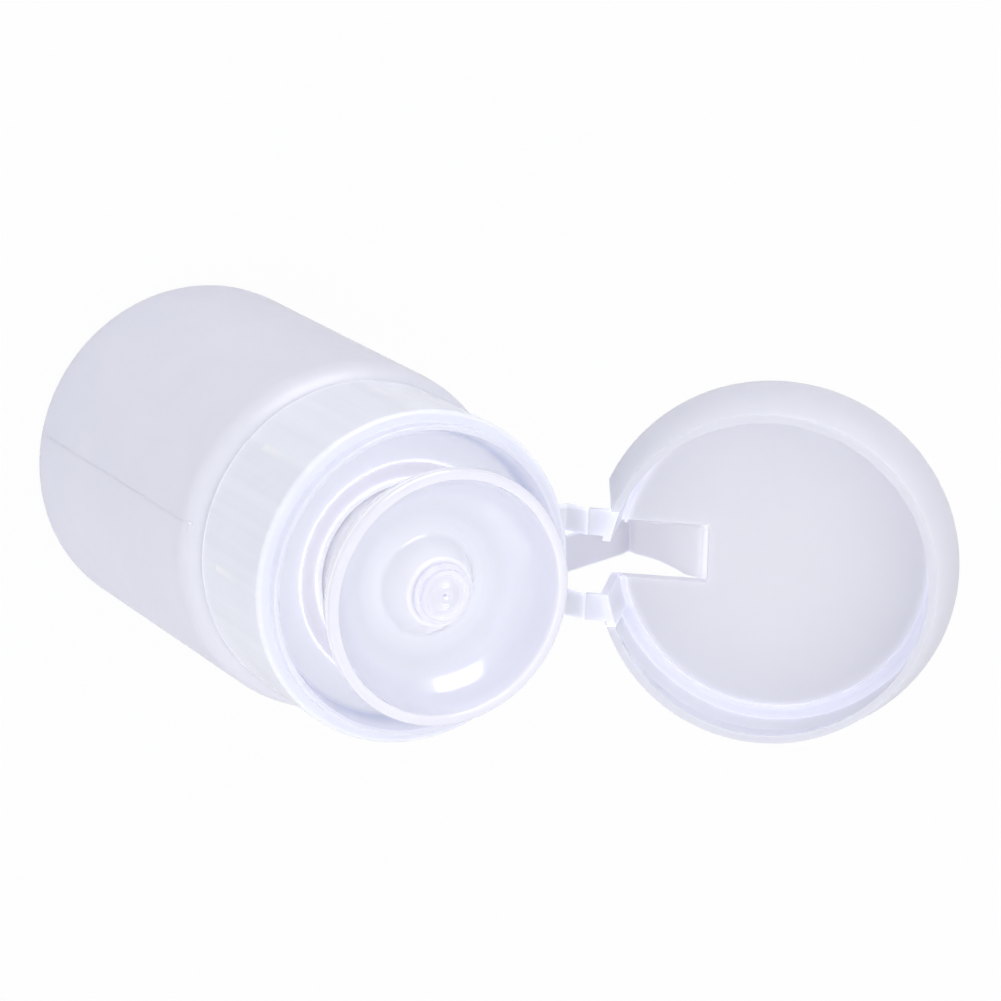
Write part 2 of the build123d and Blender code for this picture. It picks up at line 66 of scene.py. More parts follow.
camera_place = Vector((-208.24, -326.37, 756.6)) * mm
camera_right = Vector((-0.03109, 0.89272, 0.44955))
camera_up = Vector((-0.96659, 0.08764, -0.24088))
camera_back = Vector((-0.25444, -0.44201, 0.86016))
camera_data = bpy.data.cameras.new("camera")
camera_data.sensor_width = 36
camera_data.lens = 170.04
camera_data.clip_start = 0.05
camera = bpy.data.objects.new("camera", camera_data)
turn = Matrix((camera_right, camera_up, camera_back)).transposed()
camera.matrix_world = Matrix.Translation(camera_place) @ turn.to_4x4()
scene.collection.objects.link(camera)
scene.camera = camera


def srgb(colour):
    """An sRGB hex colour as a linear RGBA value."""
    parts = [int(colour[i : i + 2], 16) / 255 for i in (1, 3, 5)]
    return (*[p / 12.92 if p <= 0.04045 else ((p + 0.055) / 1.055) ** 2.4 for p in parts], 1.0)


def add_node(tree, kind, settings=None, links=None):
    """Adds one node with its settings (properties or input values) and its incoming links."""
    node = tree.nodes.new(kind)
    for name, value in (settings or {}).items():
        if isinstance(name, int) or name in node.inputs:
            node.inputs[name].default_value = value
        else:
            setattr(node, name, value)
    for name, source in (links or {}).items():
        tree.links.new(source, node.inputs[name])
    return node


def new_material(name):
    """An empty node material: its tree, and its output."""
    material = bpy.data.materials.new(name)
    material.use_nodes = True
    material.node_tree.nodes.clear()
    return material, material.node_tree, material.node_tree.nodes.new("ShaderNodeOutputMaterial")


tent_foot_light = 0.61
tent_top_light = 1.2
tent_dims_behind = 0.28
card_glow = 0.95
lamp_aim = Vector((0, 20, 80)) * mm

world = bpy.data.worlds.new("white_tent")
world.use_nodes = True
scene.world = world
tree = world.node_tree
tree.nodes.clear()
place = add_node(tree, "ShaderNodeTexCoord")
uphill = add_node(
    tree,
    "ShaderNodeVectorMath",
    {"operation": "DOT_PRODUCT", 1: (0, -tent_dims_behind, 1)},
    {0: place.outputs["Generated"]},
)
overhead = add_node(
    tree,
    "ShaderNodeMapRange",
    {
        "From Min": -0.1,
        "From Max": 1.0,
        "To Min": tent_foot_light,
        "To Max": tent_top_light,
        "clamp": False,
    },
    {"Value": uphill.outputs["Value"]},
)
tent = add_node(
    tree, "ShaderNodeBackground", {"Color": srgb("#FFFFFF")}, {"Strength": overhead.outputs[0]}
)
backdrop = add_node(tree, "ShaderNodeBackground", {"Color": (1, 1, 1, 1), "Strength": 1.0})
path = add_node(tree, "ShaderNodeLightPath")
seen = add_node(
    tree,
    "ShaderNodeMath",
    {"operation": "MAXIMUM"},
    {0: path.outputs["Is Camera Ray"], 1: path.outputs["Is Glossy Ray"]},
)
seen_through = add_node(
    tree,
    "ShaderNodeMath",
    {"operation": "MAXIMUM"},
    {0: seen.outputs[0], 1: path.outputs["Is Transmission Ray"]},
)
mix = add_node(
    tree,
    "ShaderNodeMixShader",
    links={0: seen_through.outputs[0], 1: tent.outputs[0], 2: backdrop.outputs[0]},
)
add_node(tree, "ShaderNodeOutputWorld", links={"Surface": mix.outputs[0]})

card_reach = 3.0
card_mesh = bpy.data.meshes.new("pale_card")
card_mesh.from_pydata(
    [(x * card_reach, y * card_reach, -0.1 * mm) for x, y in ((-1, -1), (1, -1), (1, 1), (-1, 1))],
    [],
    [(0, 1, 2, 3)],
)
card = bpy.data.objects.new("pale_card", card_mesh)
scene.collection.objects.link(card)
paper, tree, output = new_material("matt_pale_card")
matt = add_node(tree, "ShaderNodeBsdfDiffuse", {"Color": srgb("#DCDCDF")})
glow = add_node(tree, "ShaderNodeEmission", {"Color": (1, 1, 1, 1), "Strength": 1.0})
path = add_node(tree, "ShaderNodeLightPath")
seen = add_node(
    tree,
    "ShaderNodeMath",
    {"operation": "MAXIMUM"},
    {0: path.outputs["Is Camera Ray"], 1: path.outputs["Is Transmission Ray"]},
)
share = add_node(
    tree, "ShaderNodeMath", {"operation": "MULTIPLY", 1: card_glow}, {0: seen.outputs[0]}
)
mix = add_node(
    tree, "ShaderNodeMixShader", links={0: share.outputs[0], 1: matt.outputs[0], 2: glow.outputs[0]}
)
tree.links.new(mix.outputs[0], output.inputs["Surface"])
card_mesh.materials.append(paper)

# The lamp's own face only shows in glossy surfaces: its light is in the two soft panels
for name, spot, size, energy, only_shine in (
    ("soft_panel_left", (-0.85, 0.1, 0.58), (0.9, 0.7), 1.4, False),
    ("soft_panel_right", (0.75, -0.45, 0.5), (0.9, 0.7), 1.4, False),
    ("lamp_face", (-0.84, 0.05, 0.56), (0.62, 0.56), 8.5, True),
):
    lamp_data = bpy.data.lights.new(name, "AREA")
    lamp_data.shape = "RECTANGLE"
    lamp_data.size, lamp_data.size_y = size
    lamp_data.energy = energy
    lamp = bpy.data.objects.new(name, lamp_data)
    lamp.location = spot
    lamp.rotation_euler = (lamp_aim - lamp.location).to_track_quat("-Z", "Y").to_euler()
    lamp.visible_diffuse = not only_shine
    lamp.visible_transmission = not only_shine
    scene.collection.objects.link(lamp)


# Bottle: blown high-density polyethylene, left its natural colour
# The mould is sand-blasted, so its skin is finely frosted and has a soft grain. The mould's
# halves leave one fine raised line down each side, which ends on the shoulder in a small bead.
def dress(material, *nodes):
    """Gives solids of the frame this material in every slot."""
    for node in nodes:
        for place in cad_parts[node].material_slots:
            place.material = material


# The share of light that a thin wall's shadow lets past, and the width of a cloud in millimetres
shadow_let_past = 0.8
cloud_width = 14


def moulded_plastic(name, colour, cloud, see_through, glow_depth, roughness, grain, relief):
    """A natural plastic that light soaks into, slightly clouded, with a grain in its surface.

    Its thin walls throw only a pale shadow. glow_depth, grain and relief are in millimetres.
    Returns the material and its nodes by name."""
    material, tree, output = new_material(name)
    place = add_node(tree, "ShaderNodeTexCoord")
    # Flow clouds of the melt
    clouds = add_node(
        tree,
        "ShaderNodeTexNoise",
        {"Scale": 1000 / cloud_width, "Detail": 3.0, "Roughness": 0.55, "Distortion": 0.6},
        {"Vector": place.outputs["Object"]},
    )
    tint = add_node(
        tree,
        "ShaderNodeMix",
        {"data_type": "RGBA", 6: srgb(colour), 7: srgb(cloud)},
        {0: clouds.outputs[0]},
    )
    grains = add_node(
        tree,
        "ShaderNodeTexNoise",
        {"Scale": 1000 / grain, "Detail": 2.0, "Roughness": 0.5},
        {"Vector": place.outputs["Object"]},
    )
    shine = add_node(
        tree,
        "ShaderNodeMapRange",
        {"From Min": 0.3, "From Max": 0.7, "To Min": roughness * 0.9, "To Max": roughness * 1.1},
        {"Value": grains.outputs[0]},
    )
    bump = add_node(
        tree,
        "ShaderNodeBump",
        {"Strength": 1.0, "Distance": relief * mm},
        {"Height": grains.outputs[0]},
    )
    shader = add_node(
        tree,
        "ShaderNodeBsdfPrincipled",
        {
            "IOR": 1.49,
            "subsurface_method": "BURLEY",
            "Transmission Weight": see_through,
            "Subsurface Weight": 1.0,
            "Subsurface Scale": glow_depth * mm,
            "Subsurface Radius": (1.0, 1.0, 1.15),
        },
        {
            "Base Color": tint.outputs[2],
            "Roughness": shine.outputs[0],
            "Normal": bump.outputs[0],
        },
    )
    path = add_node(tree, "ShaderNodeLightPath")
    let_past = add_node(
        tree,
        "ShaderNodeMath",
        {"operation": "MULTIPLY", 1: shadow_let_past},
        {0: path.outputs["Is Shadow Ray"]},
    )
    no_wall = add_node(tree, "ShaderNodeBsdfTransparent")
    wall = add_node(
        tree,
        "ShaderNodeMixShader",
        links={0: let_past.outputs[0], 1: shader.outputs[0], 2: no_wall.outputs[0]},
    )
    tree.links.new(wall.outputs[0], output.inputs["Surface"])
    nodes = {
        "tree": tree, "place": place, "tint": tint, "grains": grains, "bump": bump, "shader": shader
    }
    return material, nodes


frosted_polyethylene, _ = moulded_plastic(
    "frosted_blown_polyethylene", "#DEDFEA", "#E4E5EE", 0.05, 1.5, 0.4, 0.7, 0.012
)
dress(frosted_polyethylene, "bottle")

# The mould line is painted paler than the bottle: painted light against the shade on its sides
mould_line_polyethylene_painted_lighter, _ = moulded_plastic(
    "mould_line_polyethylene_painted_lighter", "#EEEEF5", "#F4F4FA", 0.0, 0.5, 0.4, 0.7, 0.01
)
seam_azimuth = -100.5
seam_rise = 0.02
seam_radius = 0.12
foot_corner = (27.95, 2.05, 2.05)
shoulder_corner = (25.5, 63.9, 4.5)


def new_tree(name, sizes):
    """An empty Geometry Nodes tree with a geometry input, named sizes and a material."""
    tree = bpy.data.node_groups.new(name, "GeometryNodeTree")
    tree.interface.new_socket("Geometry", in_out="INPUT", socket_type="NodeSocketGeometry")
    for size, kind in sizes.items():
        tree.interface.new_socket(size, in_out="INPUT", socket_type=kind)
    tree.interface.new_socket("Material", in_out="INPUT", socket_type="NodeSocketMaterial")
    tree.interface.new_socket("Geometry", in_out="OUTPUT", socket_type="NodeSocketGeometry")
    return tree, tree.nodes.new("NodeGroupInput")


def grown(name, tree, points, closed, values):
    """Runs a tree on a line of points (millimetres) and keeps the result as a plain mesh."""
    count = len(points)
    edges = [(i, (i + 1) % count) for i in range(count if closed else count - 1)]
    mesh = bpy.data.meshes.new(name)
    mesh.from_pydata([Vector(point) * mm for point in points], edges, [])
    piece = bpy.data.objects.new(name, mesh)
    scene.collection.objects.link(piece)
    modifier = piece.modifiers.new("grow", "NODES")
    modifier.node_group = tree
    for socket in tree.interface.items_tree:
        if socket.in_out == "INPUT" and socket.name in values:
            modifier[socket.identifier] = values[socket.name]
    evaluated = piece.evaluated_get(bpy.context.evaluated_depsgraph_get())
    result = bpy.data.meshes.new_from_object(evaluated)
    piece.modifiers.clear()
    piece.data = result
    shell = bmesh.new()
    shell.from_mesh(result)
    bmesh.ops.recalc_face_normals(shell, faces=shell.faces)
    shell.to_mesh(result)
    shell.free()
    return piece


tree, given = new_tree(
    "raised_mould_lines",
    {"Line Radius": "NodeSocketFloat", "Halves": "NodeSocketInt", "Bead": "NodeSocketFloat"},
)
line = add_node(tree, "GeometryNodeMeshToCurve", links={0: given.outputs["Geometry"]})
along = add_node(tree, "GeometryNodeSplineParameter")
at_end = add_node(
    tree,
    "ShaderNodeMapRange",
    {"From Min": 0.988, "From Max": 0.996, "To Min": 1.0},
    {"Value": along.outputs["Factor"], "To Max": given.outputs["Bead"]},
)
beaded = add_node(
    tree,
    "GeometryNodeSetCurveRadius",
    links={"Curve": line.outputs[0], "Radius": at_end.outputs[0]},
)
round_section = add_node(
    tree,
    "GeometryNodeCurvePrimitiveCircle",
    {"Resolution": 8},
    {"Radius": given.outputs["Line Radius"]},
)
ridge = add_node(
    tree,
    "GeometryNodeCurveToMesh",
    {"Fill Caps": True},
    {
        "Curve": beaded.outputs[0],
        "Profile Curve": round_section.outputs[0],
        "Scale": at_end.outputs[0],
    },
)
halves = add_node(tree, "GeometryNodePoints", links={"Count": given.outputs["Halves"]})
number = add_node(tree, "GeometryNodeInputIndex")
share = add_node(
    tree,
    "ShaderNodeMath",
    {"operation": "DIVIDE"},
    {0: number.outputs[0], 1: given.outputs["Halves"]},
)
angle = add_node(
    tree, "ShaderNodeMath", {"operation": "MULTIPLY", 1: 2 * math.pi}, {0: share.outputs[0]}
)
facing = add_node(tree, "ShaderNodeCombineXYZ", links={"Z": angle.outputs[0]})
lines = add_node(
    tree,
    "GeometryNodeInstanceOnPoints",
    links={
        "Points": halves.outputs[0], "Instance": ridge.outputs[0], "Rotation": facing.outputs[0]
    },
)
real = add_node(tree, "GeometryNodeRealizeInstances", links={0: lines.outputs[0]})
smooth = add_node(tree, "GeometryNodeSetShadeSmooth", links={0: real.outputs[0]})
finished = add_node(
    tree,
    "GeometryNodeSetMaterial",
    links={0: smooth.outputs[0], "Material": given.outputs["Material"]},
)
add_node(tree, "NodeGroupOutput", links={0: finished.outputs[0]})

outline = []
for (radius, height, corner), angles in (
    (foot_corner, range(-60, 1, 6)),
    (shoulder_corner, range(0, 37, 4)),
):
    reach = corner + seam_rise - seam_radius
    outline += [
        (radius + reach * math.cos(math.radians(a)), height + reach * math.sin(math.radians(a)))
        for a in angles
    ]
azimuth = math.radians(seam_azimuth)
seams = grown(
    "bottle_mould_lines",
    tree,
    [(r * math.cos(azimuth), r * math.sin(azimuth), z) for r, z in outline],
    False,
    {
        "Line Radius": seam_radius * mm,
        "Halves": 2,
        "Bead": 2.2,
        "Material": mould_line_polyethylene_painted_lighter,
    },
)
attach(seams, "bottle")


# Hidden white pieces: dip tube, ball cage, lock ring and piston seal
# Natural low-density polyethylene, the tube drawn and the others moulded, all pushed into place.
# It is waxy, milky and soft to look at.
waxy_polyethylene, _ = moulded_plastic(
    "waxy_white_polyethylene", "#F0F0F6", "#F5F5FA", 0.0, 1.5, 0.4, 0.9, 0.01
)
dress(waxy_polyethylene, "dip_tube", "inlet_ball_cage", "lock_ring", "piston_seal")


# Pump cylinder and piston stem
# Natural polypropylene mouldings with polished bores. The cylinder hangs by its flange in the
# bottle's neck, and the stem is pushed into the dish's socket.
pump_polypropylene, _ = moulded_plastic(
    "polished_natural_polypropylene", "#F3F4FC", "#F7F8FF", 0.15, 1.5, 0.2, 2.5, 0.01
)
dress(pump_polypropylene, "pump_cylinder", "piston_stem")


# Neck gasket
# A ring cut from closed-cell polyethylene foam, squeezed between the neck and the flange. Its
# cells make it quite matt.
foam, tree, output = new_material("closed_cell_foam")
place = add_node(tree, "ShaderNodeTexCoord")
# Cells of about 0.35 mm
cells = add_node(
    tree, "ShaderNodeTexVoronoi", {"Scale": 1000 / 0.35}, {"Vector": place.outputs["Object"]}
)
tint = add_node(
    tree,
    "ShaderNodeMix",
    {"data_type": "RGBA", 6: srgb("#E2E2E8"), 7: srgb("#F4F4F8")},
    {0: cells.outputs["Distance"]},
)
bump = add_node(
    tree,
    "ShaderNodeBump",
    {"Strength": 1.0, "Distance": 0.06 * mm},
    {"Height": cells.outputs["Distance"]},
)
shader = add_node(
    tree,
    "ShaderNodeBsdfPrincipled",
    {"Roughness": 0.85, "IOR": 1.45},
    {"Base Color": tint.outputs[2], "Normal": bump.outputs[0]},
)
tree.links.new(shader.outputs[0], output.inputs["Surface"])
dress(foam, "neck_gasket")


# Return spring and the two check balls
# Drawn stainless wire, coiled and cut, and ground and tumbled stainless balls. They are bright,
# with faint marks along the wire. The spring stands loose on the cylinder's floor under the
# piston.
stainless, tree, output = new_material("bright_stainless_steel")
place = add_node(tree, "ShaderNodeTexCoord")
marks = add_node(
    tree,
    "ShaderNodeTexNoise",
    {"Scale": 1000 / 0.6, "Detail": 3.0},
    {"Vector": place.outputs["Object"]},
)
shine = add_node(
    tree, "ShaderNodeMapRange", {"To Min": 0.16, "To Max": 0.34}, {"Value": marks.outputs[0]}
)
tint = add_node(
    tree,
    "ShaderNodeMix",
    {"data_type": "RGBA", 6: srgb("#C4C5C9"), 7: srgb("#D6D6D9")},
    {0: marks.outputs[0]},
)
shader = add_node(
    tree,
    "ShaderNodeBsdfPrincipled",
    {"Metallic": 1.0},
    {"Base Color": tint.outputs[2], "Roughness": shine.outputs[0]},
)
tree.links.new(shader.outputs[0], output.inputs["Surface"])
dress(stainless, "inlet_ball", "outlet_ball")

spring_foot = 56.2
spring_top = 70.5
spring_seat = 0.04
coil_radius = 7.3
coil_turns = 6
wire_radius = 0.4

tree, given = new_tree("coiled_wire", {"Wire Radius": "NodeSocketFloat", "Sides": "NodeSocketInt"})
line = add_node(tree, "GeometryNodeMeshToCurve", links={0: given.outputs["Geometry"]})
round_section = add_node(
    tree,
    "GeometryNodeCurvePrimitiveCircle",
    links={"Resolution": given.outputs["Sides"], "Radius": given.outputs["Wire Radius"]},
)
wire = add_node(
    tree,
    "GeometryNodeCurveToMesh",
    {"Fill Caps": True},
    {"Curve": line.outputs[0], "Profile Curve": round_section.outputs[0]},
)
real = add_node(tree, "GeometryNodeRealizeInstances", links={0: wire.outputs[0]})
smooth = add_node(tree, "GeometryNodeSetShadeSmooth", links={0: real.outputs[0]})
finished = add_node(
    tree,
    "GeometryNodeSetMaterial",
    links={0: smooth.outputs[0], "Material": given.outputs["Material"]},
)
add_node(tree, "NodeGroupOutput", links={0: finished.outputs[0]})

steps_per_turn = 48
coil_foot = spring_foot + wire_radius + spring_seat
coil_rise = spring_top - wire_radius - spring_seat - coil_foot
coil = []
for step in range(coil_turns * steps_per_turn + 1):
    angle = 2 * math.pi * step / steps_per_turn
    climb = coil_rise * step / (coil_turns * steps_per_turn)
    coil.append((coil_radius * math.cos(angle), coil_radius * math.sin(angle), coil_foot + climb))
spring = grown(
    "coiled_return_spring",
    tree,
    coil,
    False,
    {"Wire Radius": wire_radius * mm, "Sides": 16, "Material": stainless},
)
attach(spring, "pump_insert")
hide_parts("return_spring")
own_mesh(spring)


# Collar
# Injection moulded in natural polypropylene and screwed on the neck. The mould is polished, so
# the wall is smooth and clear enough to show its ribs. The ribs are painted on it as soft light
# lines, painted light, and the foot edge of the skirt as a painted highlight line.
collar_polypropylene, skin = moulded_plastic(
    "smooth_collar_polypropylene", "#F8F8FA", "#FFFFFF", 0.1, 1.5, 0.2, 6.0, 0.03
)
tree, place = skin["tree"], skin["place"]
# Tone across the collar, by radius in millimetres: guide rim, deck, bead, the blue line at the
# lip's foot, lip, top ring and skirt. Much of it is painted light: the white guide rim and bead
# are painted highlights, the blue line is a painted shadow in the gap at the lip's foot, and the
# deck is painted near white against the shade it lies in
flat = add_node(
    tree,
    "ShaderNodeVectorMath",
    {"operation": "MULTIPLY", 1: (1, 1, 0)},
    {0: place.outputs["Object"]},
)
radius = add_node(tree, "ShaderNodeVectorMath", {"operation": "LENGTH"}, {0: flat.outputs[0]})
across = add_node(
    tree,
    "ShaderNodeMapRange",
    {"From Min": 14 * mm, "From Max": 29 * mm},
    {"Value": radius.outputs["Value"]},
)
tones_with_painted_light = add_node(tree, "ShaderNodeValToRGB", links={0: across.outputs[0]})
tones_with_painted_light.color_ramp.elements.remove(tones_with_painted_light.color_ramp.elements[1])
tones_with_painted_light.color_ramp.elements[0].color = srgb("#FDFDFF")
for distance, colour in (
    (15.9, "#FFFFFF"),
    (16.3, "#F4F2F8"),
    (18.4, "#F4F2F8"),
    (18.7, "#FFFFFF"),
    (19.0, "#F9FAFE"),
    (23.6, "#F9FAFE"),
    (24.3, "#DFE4F6"),
    (24.9, "#F2F3FA"),
    (25.6, "#E3E4EE"),
    (26.1, "#E7E9F2"),
    (27.2, "#ECEEF8"),
    (27.7, "#F6F8FF"),
):
    tones_with_painted_light.color_ramp.elements.new((distance - 14) / 15).color = srgb(colour)
# The eight ribs inside the skirt: each panel between them has its own tone, and each rib is
# painted as a soft light line, brightest at its foot: painted light for the light seen through the
# wall
parts = add_node(tree, "ShaderNodeSeparateXYZ", links={0: place.outputs["Object"]})
angle = add_node(
    tree, "ShaderNodeMath", {"operation": "ARCTAN2"}, {0: parts.outputs["Y"], 1: parts.outputs["X"]}
)
panel = add_node(
    tree, "ShaderNodeMath", {"operation": "MULTIPLY", 1: 4 / math.pi}, {0: angle.outputs[0]}
)
panel_number = add_node(tree, "ShaderNodeMath", {"operation": "FLOOR"}, {0: panel.outputs[0]})
panel_tone = add_node(
    tree, "ShaderNodeTexWhiteNoise", {"noise_dimensions": "1D"}, {"W": panel_number.outputs[0]}
)
streaks = add_node(
    tree,
    "ShaderNodeTexNoise",
    {"noise_dimensions": "1D", "Scale": 9.0, "Detail": 4.0, "Roughness": 0.6},
    {"W": angle.outputs[0]},
)
both = add_node(
    tree,
    "ShaderNodeMath",
    {"operation": "ADD"},
    {0: panel_tone.outputs["Value"], 1: streaks.outputs[0]},
)
wall_tone = add_node(
    tree,
    "ShaderNodeMapRange",
    {"From Min": 0.3, "From Max": 1.7, "To Min": 0.92, "To Max": 1.06, "clamp": False},
    {"Value": both.outputs[0]},
)
outside = add_node(
    tree,
    "ShaderNodeMapRange",
    {"From Min": 27.3 * mm, "From Max": 27.8 * mm},
    {"Value": radius.outputs["Value"]},
)
toned = add_node(
    tree,
    "ShaderNodeVectorMath",
    {"operation": "SCALE"},
    {0: tones_with_painted_light.outputs[0], "Scale": wall_tone.outputs[0]},
)
walled = add_node(
    tree,
    "ShaderNodeMix",
    {"data_type": "RGBA"},
    {0: outside.outputs[0], 6: tones_with_painted_light.outputs[0], 7: toned.outputs[0]},
)
from_rib = add_node(
    tree, "ShaderNodeMath", {"operation": "PINGPONG", 1: math.pi / 8}, {0: angle.outputs[0]}
)
rib_line = add_node(
    tree,
    "ShaderNodeMapRange",
    {"From Min": 0.012, "From Max": 0.028, "To Min": 1.0, "To Max": 0.0},
    {"Value": from_rib.outputs[0]},
)
rib_height = add_node(
    tree,
    "ShaderNodeMapRange",
    {"From Min": 75.0 * mm, "From Max": 83.0 * mm, "To Min": 0.75, "To Max": 0.1},
    {"Value": parts.outputs["Z"]},
)
above_foot = add_node(
    tree,
    "ShaderNodeMapRange",
    {"From Min": 74.6 * mm, "From Max": 75.2 * mm},
    {"Value": parts.outputs["Z"]},
)
rib_painted_glow = add_node(
    tree,
    "ShaderNodeMath",
    {"operation": "MULTIPLY"},
    {0: rib_line.outputs[0], 1: rib_height.outputs[0]},
)
rib_shown = add_node(
    tree,
    "ShaderNodeMath",
    {"operation": "MULTIPLY"},
    {0: rib_painted_glow.outputs[0], 1: above_foot.outputs[0]},
)
rib_outside = add_node(
    tree,
    "ShaderNodeMath",
    {"operation": "MULTIPLY"},
    {0: rib_shown.outputs[0], 1: outside.outputs[0]},
)
# Painted highlight: a white line along the foot edge of the skirt
foot_edge_painted_highlight = add_node(
    tree,
    "ShaderNodeMapRange",
    {"From Min": 69.2 * mm, "From Max": 69.45 * mm, "To Min": 1.0, "To Max": 0.0},
    {"Value": parts.outputs["Z"]},
)
painted_light_lines = add_node(
    tree,
    "ShaderNodeMath",
    {"operation": "MAXIMUM"},
    {0: rib_outside.outputs[0], 1: foot_edge_painted_highlight.outputs[0]},
)
with_painted_highlight = add_node(
    tree,
    "ShaderNodeMix",
    {"data_type": "RGBA", 7: srgb("#FFFFFF")},
    {0: painted_light_lines.outputs[0], 6: walled.outputs[2]},
)
cloudy = add_node(
    tree,
    "ShaderNodeMix",
    {"data_type": "RGBA", "blend_type": "MULTIPLY", 0: 1.0},
    {6: with_painted_highlight.outputs[2], 7: skin["tint"].outputs[2]},
)
tree.links.new(cloudy.outputs[2], skin["shader"].inputs["Base Color"])
# Turning marks of the mould, drawn 0.8 mm apart so that they show
marks = add_node(
    tree,
    "ShaderNodeTexNoise",
    {"noise_dimensions": "1D", "Scale": 1000 / 0.8, "Detail": 2.0},
    {"W": radius.outputs["Value"]},
)
marked = add_node(
    tree,
    "ShaderNodeBump",
    {"Strength": 1.0, "Distance": 0.005 * mm},
    {"Height": marks.outputs[0], "Normal": skin["bump"].outputs[0]},
)
tree.links.new(marked.outputs[0], skin["shader"].inputs["Normal"])
dress(collar_polypropylene, "screw_collar")


# Hinge straps
# Two straps moulded in one with the collar and the lid. Each rises from the collar's wall and
# thins to a film at the fold, and its bevelled edges are painted paler than its middle, as a
# painted highlight.
strap_middle_x = 7.27
strap_half_width = 2.23
strap_edge = 0.6
strap_outline = (
    ((26.6, 90.9), (26.6, 89.78)),
    ((28.0, 90.9), (28.3, 89.78)),
    ((28.2, 91.15), (28.87, 89.95)),
    ((28.6, 91.86), (29.12, 90.6)),
    ((29.2, 92.9), (29.5, 91.75)),
    ((29.7, 93.78), (29.86, 92.85)),
    ((29.93, 94.18), (30.05, 93.5)),
    ((30.02, 94.31), (30.12, 94.02)),
    ((30.18, 94.41), (30.22, 94.11)),
    ((30.36, 94.42), (30.42, 94.13)),
    ((30.62, 94.56), (30.8, 94.28)),
)


def ribbon(name, stations, edge_width, material):
    """A strip across the hinge, with bevelled edges marked by the attribute "edge".

    stations are (x middle, half width, top (y, z), bottom (y, z)) in millimetres."""
    rows = []
    for middle, half, top, bottom in stations:
        top, bottom = Vector((0, *top)), Vector((0, *bottom))
        depth = (top - bottom) * 0.3
        row = [
            (half - edge_width, top, 0.0),
            (half, top - depth, 1.0),
            (half, bottom + depth, 1.0),
            (half - edge_width, bottom, 0.0),
            (edge_width - half, bottom, 0.0),
            (-half, bottom + depth, 1.0),
            (-half, top - depth, 1.0),
            (edge_width - half, top, 0.0),
        ]
        rows.append([(Vector((middle + x, p.y, p.z)) * mm, edge) for x, p, edge in row])
    mesh = bpy.data.meshes.new(name)
    count = len(rows[0])
    faces = [
        (
            r * count + i,
            r * count + (i + 1) % count,
            (r + 1) * count + (i + 1) % count,
            (r + 1) * count + i,
        )
        for r in range(len(rows) - 1)
        for i in range(count)
    ]
    faces += [tuple(range(count)), tuple((len(rows) - 1) * count + i for i in range(count))]
    mesh.from_pydata([p for row in rows for p, _ in row], [], faces)
    shell = bmesh.new()
    shell.from_mesh(mesh)
    bmesh.ops.recalc_face_normals(shell, faces=shell.faces)
    shell.to_mesh(mesh)
    shell.free()
    mesh.shade_smooth()
    mesh.set_sharp_from_angle(angle=math.radians(24))
    edges = mesh.attributes.new("edge", "FLOAT", "POINT")
    for number, (_, edge) in enumerate(item for row in rows for item in row):
        edges.data[number].value = edge
    mesh.materials.append(material)
    piece = bpy.data.objects.new(name, mesh)
    scene.collection.objects.link(piece)
    return piece


strap_polypropylene, skin = moulded_plastic(
    "bevelled_strap_polypropylene", "#E1E2E8", "#E5E6EC", 0.08, 1.0, 0.34, 3.0, 0.01
)
tree = skin["tree"]
# Painted highlight: the bevelled edges are painted paler than the middle
edge = add_node(tree, "ShaderNodeAttribute", {"attribute_name": "edge"})
with_painted_highlight = add_node(
    tree,
    "ShaderNodeMix",
    {"data_type": "RGBA", 7: srgb("#ECEDF6")},
    {0: edge.outputs["Fac"], 6: skin["tint"].outputs[2]},
)
tree.links.new(with_painted_highlight.outputs[2], skin["shader"].inputs["Base Color"])
for side, node in ((-1, "hinge_strap_left"), (1, "hinge_strap_right")):
    stations = [
        (side * strap_middle_x, strap_half_width, top, bottom) for top, bottom in strap_outline
    ]
    strap = ribbon(node + "_with_film", stations, strap_edge, strap_polypropylene)
    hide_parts(node)
    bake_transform(strap)


# Press dish
# Moulded in milkier polypropylene in a turned mould, so its surfaces carry fine rings. Its rim is
# rolled, its boss holds the nozzle, and below the bowl its skirt slides in the collar's guide.
turning_steps = 160
bowl_floor_radius = 11.5
bowl_width = 8.1
bowl_depth = 8.6
dish_rim_height = 105.0
bowl_curve = [
    (
        bowl_floor_radius + bowl_width * math.sin(math.radians(t)),
        dish_rim_height - bowl_depth * math.cos(math.radians(t)),
        0,
    )
    for t in range(0, 81, 5)
]
dish_outline = (
    (1.6, 98.6, 0.1),
    (3.2, 98.6, 0.1),
    (3.2, 101.4, 0.15),
    (5.7, 101.4, 0.9),
    (8.4, 96.4, 1.3),
    *bowl_curve,
    (19.6, 105.0, 0.4),
    (20.1, 105.15, 0.3),
    (21.4, 105.0, 0.6),
    (21.4, 103.4, 0.25),
    (20.75, 103.4, 0.2),
    (20.2, 100.2, 3.0),
    (17.6, 96.9, 1.5),
    (14.6, 95.8, 0.4),
    (14.6, 86.2, 0.15),
    (13.3, 86.2, 0.15),
    (13.3, 95.2, 0.5),
    (6.05, 95.2, 0.5),
    (6.05, 89.5, 0.15),
    (4.65, 89.5, 0.15),
    (4.65, 96.85, 0.1),
    (1.6, 96.85, 0.1),
)


def rounded(outline, parts=6):
    """A closed outline of (radius, height, corner round), with its corners rounded off."""
    points = []
    for i, (radius, height, corner) in enumerate(outline):
        here = Vector((radius, height))
        if not corner:
            points.append(here)
            continue
        before = Vector(outline[i - 1][:2]) - here
        after = Vector(outline[(i + 1) % len(outline)][:2]) - here
        bend = before.angle(after) / 2
        back = min(corner / math.tan(bend), 0.42 * before.length, 0.42 * after.length)
        start, end = here + before.normalized() * back, here + after.normalized() * back
        margin = 0.12 * back
        points.append(start + before.normalized() * margin)
        for part in range(parts + 1):
            t = part / parts
            points.append(start * (1 - t) ** 2 + here * 2 * t * (1 - t) + end * t**2)
        points.append(end + after.normalized() * margin)
    return [(p.x, 0, p.y) for p in points]


